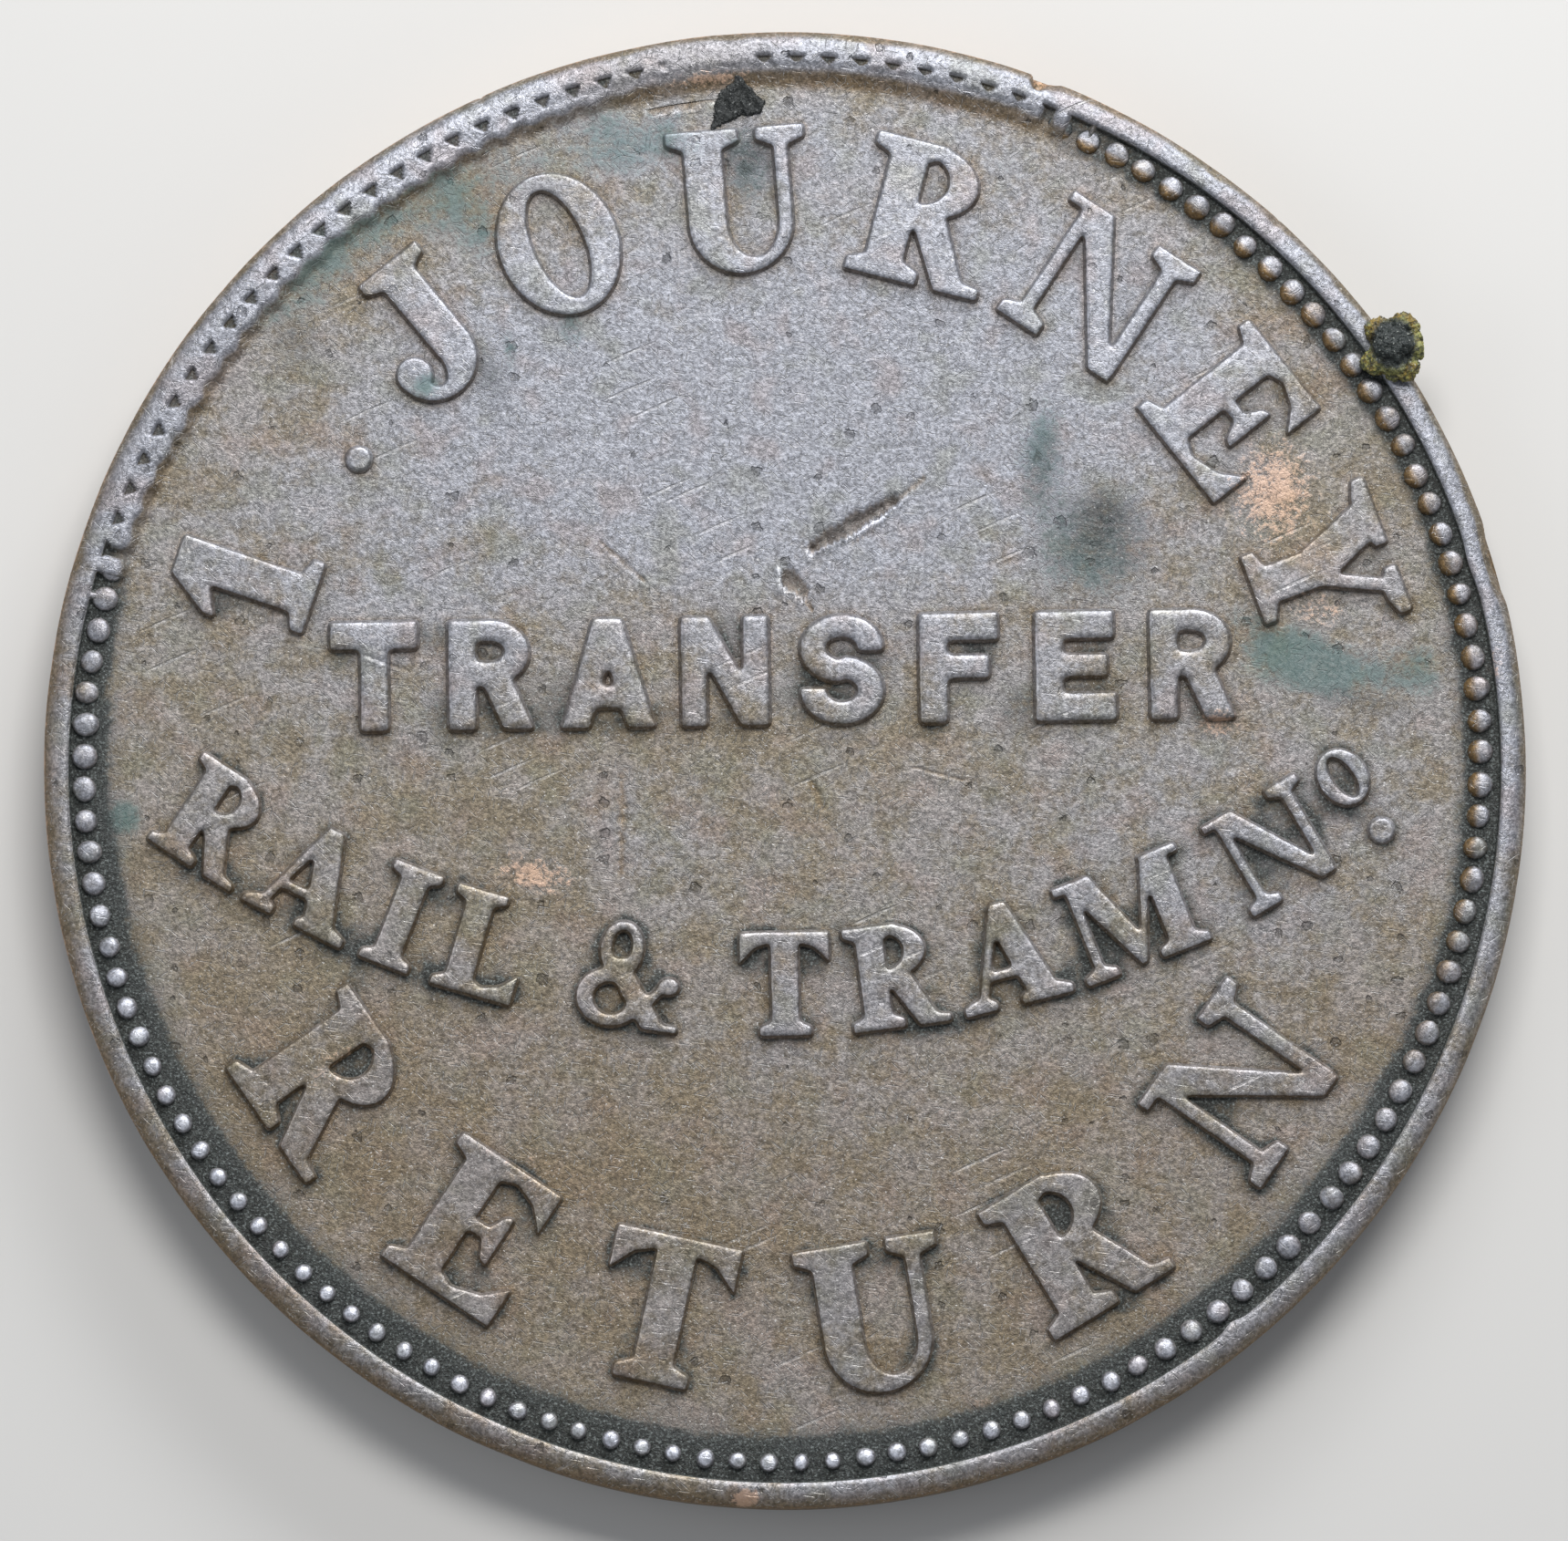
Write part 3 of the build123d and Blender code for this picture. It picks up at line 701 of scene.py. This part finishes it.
def ringSpun(line, steps, thenEach, closed=True):
    # a coarse spin, then each step cut again, which is much faster than one fine spin
    bm = bmesh.new()
    corners = [bm.verts.new((0, r, z)) for r, z in line]
    edges = [bm.edges.new(pair) for pair in zip(corners, corners[1:])]
    if closed:
        edges.append(bm.edges.new((corners[-1], corners[0])))
    bmesh.ops.spin(bm, geom=corners + edges, cent=(0, 0, 0), axis=(0, 0, 1),
                   angle=math.tau, steps=steps, use_merge=True)
    bmesh.ops.remove_doubles(bm, verts=bm.verts, dist=1e-5)
    bmesh.ops.recalc_face_normals(bm, faces=bm.faces)

    def around(edge):
        a, b = (vertex.co for vertex in edge.verts)
        return abs(a.z - b.z) < 1e-4 and abs(a.xy.length - b.xy.length) < 1e-3 and a.xy.length > 1e-3

    if thenEach > 1:
        bmesh.ops.subdivide_edges(bm, edges=[e for e in bm.edges if around(e)], cuts=thenEach - 1, use_grid_fill=True)
        half = math.pi / steps
        for vertex in bm.verts:  # the new points go out to the circle
            if vertex.co.xy.length > 1e-3:
                turn = (math.atan2(vertex.co.x, vertex.co.y) / (2 * half)) % 1 * 2 * half - half
                grow = math.cos(turn) / math.cos(half)
                vertex.co.x *= grow
                vertex.co.y *= grow
    return bm


def borderLine():
    field, top, middle = coin["field"], coin["rimTop"], coin["middle"]
    seam, channel = coin["seam"], border["channelInner"]
    inner, outer, shoulder = border["rimInner"], coin["radius"], border["shoulder"]
    line = [(seam, middle), (seam, field)]
    line += [(blendTo(seam, channel, i / 2), field) for i in (1, 2)]
    line += [(blendTo(channel, inner, i / 16), field) for i in range(1, 17)]
    rise = top - field
    wall = ((0.015, 0.3), (0.03, 0.62), (0.055, 0.85), (0.09, 0.97), (0.15, 1), (0.24, 1), (0.33, 1))
    line += [(inner + across, field + rise * share) for across, share in wall]
    for i in range(8):
        turn = math.radians(90 * (1 - i / 7))
        line.append((outer - shoulder + shoulder * math.cos(turn), top - shoulder + shoulder * math.sin(turn)))
    line += [(outer, blendTo(top - shoulder, middle, i / 5)) for i in range(1, 6)]
    line += [(blendTo(outer, seam, 0.5), middle)]
    return line


def turnOver(bm):
    over = Matrix.Translation((0, 0, 2 * coin["middle"])) @ Matrix.Rotation(math.pi, 4, "Y")
    bmesh.ops.transform(bm, matrix=over, verts=bm.verts)


def makeBorder(name, node, side):
    each = border["stepsPerBead"] if side > 0 else border["backStepsPerBead"]
    bm = ringSpun(borderLine(), border["beads"], each)
    if side < 0:
        turnOver(bm)
    ground = groundOf(side)

    def shape(x, y, z):
        r, angle = np.hypot(x, y), bearing(x, y)
        up = side * (z - ground)
        free = smooth(-0.8, -0.7, up)  # the middle plane and the seam stay where they are
        rim = smooth(border["rimInner"] - 0.01, border["rimInner"] + 0.1, r)
        low = smooth(coin["rimRise"], 0, up)
        lift = waveAt(x, y) * (1 - rim) * smooth(-0.05, -0.01, up)
        lift -= border["crown"] * np.clip((r - 16.5) / 0.4, 0, 1.3) ** 1.5 * smooth(-0.5, 0.1, up)
        channel = 0.02 * ripple(x, y, 0.16, 63) + 0.015 * ripple(x, y, 0.4, 64)
        channel *= smooth(15.6, 15.8, r) * smooth(border["rimInner"], 16.3, r)
        if side > 0:
            clip = np.minimum(r, border["top"]) / r
            band = bandAt(x * clip, y * clip)
            raised = np.maximum(band - up, 0) * smooth(16.5, 16.46, r)
            lift += (raised + channel * (1 - band / coin["rimRise"]) * low) * smooth(-0.02, 0, up)
            nick = nickAt(angle)
            rim = np.maximum(rim, smooth(0.15, 0.22, band))
        else:
            lift += channel * low * smooth(-0.02, 0, up)
            nick = np.zeros(len(x))
        outer = smooth(16.6, 16.95, r)
        rub = (0.01 * ripple(x, y, 2.5, 61) + 0.005 * ripple(x, y, 0.5, 62) - 0.01) * rim * free
        lift += rub - nick * outer * smooth(-0.6, 0.2, up) * 0.6
        inward = outer * (1.4 * np.maximum(nick - 0.06, 0) * free + 0.012 * (1 + ripple(x, y, 1.4, 65)))
        if side > 0:
            bulge = 0.1 * np.exp(-(apart(angle, 141.5) / 0.9) ** 2) + 0.06 * np.exp(-(apart(angle, 73.5) / 1.6) ** 2)
            inward += bulge * smooth(border["top"], 16.4, r) * smooth(16.7, 16.5, r)
        keep = 1 - inward / r
        return x * keep, y * keep, z + side * lift

    def marks(x, y, z, nx, ny, nz):
        r, angle = np.hypot(x, y), bearing(x, y)
        up = side * (z - ground) / coin["rimRise"]
        front = side > 0
        top = smooth(0.45, 0.85, up)
        wall = np.maximum(smooth(0.3, 0.8, 1 - np.abs(nz)), smooth(-0.5, -1, up)) * smooth(16.6, 16.85, r)
        # shine and lip mark a painted reflection on the rim's top and a painted highlight on its inner edge
        shine = np.maximum(facing(angle, *border["shine"]), 0.95 * mergeAt(angle)) * front
        lip = smooth(0.1, 0.3, 1 - np.abs(nz)) * smooth(16.5, 16.46, r) * facing(angle, *border["lip"]) * front
        found = fieldMarks(side, x, y)
        inPit = smooth(0.8, 0.4, up) * smooth(16.0, 16.15, r) * smooth(16.45, 16.38, r)
        slope = smooth(0.9, 0.3, up) * smooth(15.62, 15.75, r) * smooth(16.2, 16.0, r)
        merge, lean = mergeAt(angle) * front, leanAt(angle) * front
        found["grime"] = found["grime"] * (1 - top) * smooth(16.5, 16.4, r) + 0.5 * inPit * merge + 0.12 * wall
        # the rim's top is brightened in places and along its inner lip, a painted highlight
        sheen = sum(share * facing(angle, at, reach * 0.4, reach) for at, reach, share in border["rimSheen"])
        found["crest"] = top * (1 + 0.8 * lip + sheen * front)
        found["bare"] = found["bare"] + 0.75 * wall * facing(angle, *border["bareWall"])
        # brown on the band's inner slope and where the rim leans is painted shade; the outer wall is browned as well
        found["brown"] = 0.35 * slope * merge + 0.25 * lean * smooth(15.6, 15.8, r) * (1 - top) + 0.9 * wall
        # painted shade in brown on the outer shoulder near the bottom, and on the rim's top near bearing 351
        found["brown"] += 0.45 * smooth(16.5, 16.95, r) * facing(angle, *border["shadedOuter"]) * front
        found["brown"] += 0.22 * top * facing(angle, *border["shadedTop"]) * front
        found["green"] = found["green"] * (1 - 0.7 * top)
        # blue-grey on the rim's top, strongest where shine is, is a painted reflection
        found["glow"] = found["glow"] + (0.3 + 0.7 * shine) * top
        found["level"] = levelAt(nz) * smooth(-1, -0.5, up)
        return found

    return makePiece(bm, name, finishes["flan"], node, shape, marks)


def channelGrime(side, x, y):
    angle, r = bearing(x, y), np.hypot(x, y)
    if side < 0:
        return 0.8 * smooth(15.6, 15.8, r + 0.08 * ripple(x, y, 0.7, 52))
    low = facing(angle, *border["lowDirt"])
    right = facing(angle, *border["rightDirt"])
    edge = 15.66 - 0.22 * low - 0.1 * right + 0.12 * ripple(x, y, 0.7, 51) + 0.07 * ripple(x, y, 0.25, 53)
    dark = 0.86 + 0.08 * np.maximum(low, right)
    halo = 0.4 * low * smooth(14.5, 15.7, r) + (0.12 + 0.1 * right) * smooth(14.8, 15.7, r)
    return (smooth(edge - 0.15, edge + 0.2, r) * dark + halo) * (1 - 0.9 * mergeAt(angle)) * (1 - 0.45 * leanAt(angle))


def fieldMarks(side, x, y):
    found = dict.fromkeys(markNames, 0)
    halo, near = haloAt(side, x, y)
    found["grime"] = halo + channelGrime(side, x, y)
    found["brown"] = 0.55 * near
    if side > 0:
        cut = gougeAt(x, y)
        found["grime"] += stainAt("grime", x, y) + 0.32 * smooth(-0.03, -0.08, cut)
        found["green"] = stainAt("green", x, y)
        found["bare"] = stainAt("bare", x, y)
        # the lips thrown up beside the gouges get a painted highlight
        found["crest"] = 2.2 * smooth(0.008, 0.028, cut)
        found["brown"] += stainAt("brown", x, y) + 0.5 * smooth(-0.004, -0.03, cut)
        found["glow"] = stainAt("glow", x, y)
    return found


packing = {
    "reach": 0.6,  # relief this near holds dirt
    "atFoot": 0.06,  # how fast the line at the foot of the relief fades
    "fade": 0.5,
}

footTrees = {}
for side, points in footPoints.items():
    footTrees[side] = KDTree(len(points))
    for i, (x, y) in enumerate(sorted(points)):
        footTrees[side].insert((x * footStep, y * footStep, 0), i)
    footTrees[side].balance()


def haloAt(side, x, y):
    find, around = footTrees[side].find, footTrees[side].find_range
    far = np.array([find((a, b, 0))[2] for a, b in zip(x.tolist(), y.tolist())])
    # corners and counters have relief on several sides, and hold the most dirt
    reach = packing["reach"]
    walls = np.array([len(around((a, b, 0), reach)) if d < reach else 0
                      for a, b, d in zip(x.tolist(), y.tolist(), far.tolist())])
    held = smooth(0.75, 2.1, walls * footStep / (2 * reach))
    lower = smooth(7, -2, y) if side > 0 else 0.8
    patchy = np.clip(0.75 + 0.9 * ripple(x, y, 1.1, 41) + 0.5 * ripple(x, y, 0.35, 42), 0, 1.4)
    near = np.exp(-far / packing["atFoot"])
    wide = (0.12 + 0.75 * held) * (0.3 + 0.7 * lower) * np.exp(-far / packing["fade"])
    return (near * (0.1 + 0.3 * lower) + wide) * patchy, near


def fieldLine():
    edge, field, middle, rings = coin["seam"], coin["field"], coin["middle"], 78
    line = [(edge * i / rings, field) for i in range(rings + 1)]
    return line + [(edge, blendTo(field, middle, 0.5)), (edge, middle), (edge / 2, middle), (0, middle)]


def makeField(name, side):
    bm = ringSpun(fieldLine(), 120, 4 if side > 0 else 2, closed=False)
    if side < 0:
        turnOver(bm)
    ground = groundOf(side)
    find = footTrees[side].find
    gouges = [(Vector((a, b, 0)), Vector((c, d, 0))) for a, b, c, d, *_ in damage["gouges"]]

    def nearLetter(spot):
        return find(spot)[2] < 0.4

    def nearGouge(spot):
        for start, end in gouges:
            along = min(max((spot - start).dot(end - start) / (end - start).length_squared, 0), 1)
            if (spot - start.lerp(end, along)).length < 0.35:
                return True
        return False

    # finer faces where the surface has more to show
    for near in (nearLetter, nearGouge) if side > 0 else (nearLetter,):
        edges = {}  # keeps its order, so every run gives the same mesh
        for face in bm.faces:
            spot = face.calc_center_median()
            if abs(spot.z - ground) < 1e-4 and near(Vector((spot.x, spot.y, 0))):
                edges.update(dict.fromkeys(face.edges))
        bmesh.ops.subdivide_edges(bm, edges=list(edges), cuts=1, use_grid_fill=True)

    def shape(x, y, z):
        on = np.abs(z - ground) < 1e-4
        return x, y, z + side * on * (waveAt(x, y) + (gougeAt(x, y) if side > 0 else 0))

    def marks(x, y, z, nx, ny, nz):
        return fieldMarks(side, x, y)

    return makePiece(bm, name, finishes["flan"], "flan", shape, marks)


makeField("obverseField", 1)
makeField("reverseField", -1)
print("fields ready")
makeBorder("obverseBorder", "obverse_rim", 1)
makeBorder("reverseBorder", "reverse_rim", -1)
print("borders ready")


# Beads

beadForm = {
    "line": [(0, 1), (0.6, 0.99), (0.83, 0.9), (0.97, 0.6), (1.05, 0.2), (1.12, -0.4)],  # share of radius, of height
    "segments": 12,
    "radius": 0.275,
    "lowSmaller": 0.065,  # how much smaller the beads are at the bottom
    "tall": 0.2,
    "jitter": 0.02,
}


def makeBeads(name, node, side):
    random.seed(137)
    count, ring = border["beads"], border["ringRadius"]
    spread = np.array([[random.uniform(-1, 1) for _ in range(6)] for _ in range(count)]).T
    bm = bmesh.new()
    corners = [bm.verts.new((u, 0, v)) for u, v in beadForm["line"]]
    edges = [bm.edges.new(pair) for pair in zip(corners, corners[1:])]
    bmesh.ops.spin(bm, geom=corners + edges, cent=(0, 0, 0), axis=(0, 0, 1),
                   angle=math.tau, steps=beadForm["segments"], use_merge=True)
    bmesh.ops.remove_doubles(bm, verts=bm.verts, dist=1e-4)
    bmesh.ops.holes_fill(bm, edges=[e for e in bm.edges if e.is_boundary], sides=0)
    bmesh.ops.recalc_face_normals(bm, faces=bm.faces)
    small = 0.01  # the bead is small while the ring is made, so that each vertex knows its bead
    bmesh.ops.scale(bm, vec=(small, small, 1), verts=bm.verts)
    bmesh.ops.translate(bm, vec=(0, ring, 0), verts=bm.verts)
    bmesh.ops.spin(bm, geom=bm.verts[:] + bm.edges[:] + bm.faces[:], cent=(0, 0, 0), axis=(0, 0, 1),
                   angle=math.tau * (1 - 1 / count), steps=count - 1, use_duplicate=True)
    ground = groundOf(side)

    def shape(x, y, z):
        bead = np.round(bearing(x, y) * count / 360).astype(int) % count
        at = bead * 360 / count + border["phase"]
        turn = np.radians(at - border["phase"])
        fromX, fromY = x - ring * np.sin(turn), y - ring * np.cos(turn)
        u = (fromX * np.cos(turn) - fromY * np.sin(turn)) / small
        v = (fromX * np.sin(turn) + fromY * np.cos(turn)) / small
        low = facing(at, *border["lowBeads"]) if side > 0 else np.full(len(x), 0.2)
        merge = mergeAt(at) if side > 0 else np.zeros(len(x))
        one, two, three, four, five, six = spread[:, bead]
        radius = beadForm["radius"] - beadForm["lowSmaller"] * low + 0.014 * one
        lean = leanAt(at) if side > 0 else 0
        tall = beadForm["tall"] * (1 - 0.5 * merge - 0.45 * lean) + 0.01 * two
        rough = 1 + 0.09 * ripple(u * 0.9 + bead * 5, v * 0.9, 1, 33)
        dome = z - (u * u + v * v) * (0.04 + 0.2 * low) * (z > 0)
        u, v = u * radius * (1 + 0.06 * three) * rough, v * radius * (1 - 0.06 * three) * rough
        u, v = u + beadForm["jitter"] * four, v + beadForm["jitter"] * five + ring
        turn = np.radians(at)
        newX = border["offset"][0] + u * np.cos(turn) + v * np.sin(turn)
        newY = border["offset"][1] - u * np.sin(turn) + v * np.cos(turn)
        tilt = 0.035 * six * (v - ring) / radius
        newZ = ground + side * (dome * tall + tilt * (z > 0) + waveAt(newX, newY) + 0.01 * ripple(newX, newY, 0.15, 31))
        return side * newX, newY, newZ

    def marks(x, y, z, nx, ny, nz):
        up = side * (z - ground) / beadForm["tall"]
        front = side > 0
        inward = ring - np.hypot(x - border["offset"][0], y - border["offset"][1])
        low = facing(bearing(x, y), *border["lowBeads"]) * front
        # the inner halves of the beads near bearing 45 get painted shade in brown
        shadedHalf = smooth(-0.02, 0.14, inward) * facing(bearing(x, y), *border["shadedBeads"]) * front
        return {
            "grime": smooth(0.6, 0.1, up) * (1 - 0.7 * shadedHalf),
            "green": stainAt("green", x, y) * 0.6 * front,
            "bare": 0,
            # the tops of the low beads get a painted highlight, and extra blue-grey as a painted sheen
            "crest": smooth(0.55, 0.9, up) * (1 + 1.2 * low),
            "brown": 1.0 * shadedHalf + 0.25 * smooth(0.2, 0.7, 1 - np.abs(nz)),
            "glow": stainAt("glow", x, y) * front + 0.5 + 0.5 * low,
        }

    piece = makePiece(bm, name, finishes["relief"], node, shape, marks)
    if side < 0:
        piece.data.flip_normals()  # the mirroring had turned them inside out


makeBeads("obverseBeading", "obverse_beads", 1)
makeBeads("reverseBeading", "reverse_beads", -1)
print("beads ready")


# Dirt stuck to the coin

dirt = {
    "grit": {"ochre": (0.21, 0.14, 0.018), "lime": (0.24, 0.24, 0.07),
             "dark": (0.012, 0.017, 0.016), "speck": (0.45, 0.47, 0.42)},
    "packed": {"ochre": (0.02, 0.022, 0.02), "lime": (0.06, 0.065, 0.058),
               "dark": (0.006, 0.008, 0.008), "speck": (0.3, 0.31, 0.3)},
    "bump": 0.1,
    "lumpMiddle": (-1.05, 15.3),
    "lumpAcross": (-0.46, 0.89),  # direction in which the lump is stretched
    "lumpWider": 0.8,
    "gritCore": (13.95, 9.65, 0.78),  # where the grit is black, and how far that reaches, mm
}


def dirtFinish(name, look, wet):
    f = Finish(name)
    coarse, fine, grain = f.cloud(1.9, 3, 0.6, 4.0), f.cloud(8, 3, 0.8, 8.0), f.cloud(15, 2, 0.7, 2.0)
    colour = f.mix(f.between(coarse, 0.42, 0.56), look["ochre"], look["lime"])
    colour = f.mix(f.between(fine, 0.4, 0.58), f.mix(0.85, colour, look["dark"]), colour)
    core = f.between(f.mark("grime") + 1.8 * (fine - 0.5), 0.35, 0.75)
    colour = f.mix(core, colour, look["dark"])
    colour = f.mix(f.between(grain, 0.62, 0.72) * 0.6, colour, look["speck"])
    height = 0.6 * fine + 0.4 * grain
    return f.shaded(Base_Color=colour, Roughness=wet + 0.3 * fine, Normal=f.bumped(height, dirt["bump"]))


finishes["grit"] = dirtFinish("dryGrit", dirt["grit"], 0.35)
finishes["dirt"] = dirtFinish("packedDirt", dirt["packed"], 0.5)


def crumble(bm, amount, size):
    for vertex in bm.verts:
        vertex.co += vertex.normal * amount * noise.fractal(vertex.co / size, 0.9, 2.0, 5)


def makeGrit():
    bm = remeshed("rim_crumb", 0.03)
    rubbed(bm, 10)
    crumble(bm, 0.1, 0.3)
    bm.normal_update()
    crumble(bm, 0.04, 0.09)

    def marks(x, y, z, nx, ny, nz):
        cx, cy, reach = dirt["gritCore"]
        far = np.hypot((x - cx) / 0.95, (y - cy) * 0.9)
        return {"grime": smooth(reach, reach * 0.4, far)}

    makePiece(bm, "gritCrumb", finishes["grit"], "rim_crumb", None, marks)


def makeDirtLump():
    bm = remeshed("grime_lump", 0.02)
    rubbed(bm, 2)
    crumble(bm, 0.08, 0.25)
    bm.normal_update()
    crumble(bm, 0.035, 0.08)

    def marks(x, y, z, nx, ny, nz):
        return {"grime": np.full(len(x), 0.6)}

    def shape(x, y, z):
        (cx, cy), (ax, ay) = dirt["lumpMiddle"], dirt["lumpAcross"]
        wider = dirt["lumpWider"] * ((x - cx) * ax + (y - cy) * ay)
        return x + wider * ax, y + wider * ay, z + bandAt(x, y)

    makePiece(bm, "dirtLump", finishes["dirt"], "grime_lump", shape, marks)


makeGrit()
makeDirtLump()
print("dirt ready")
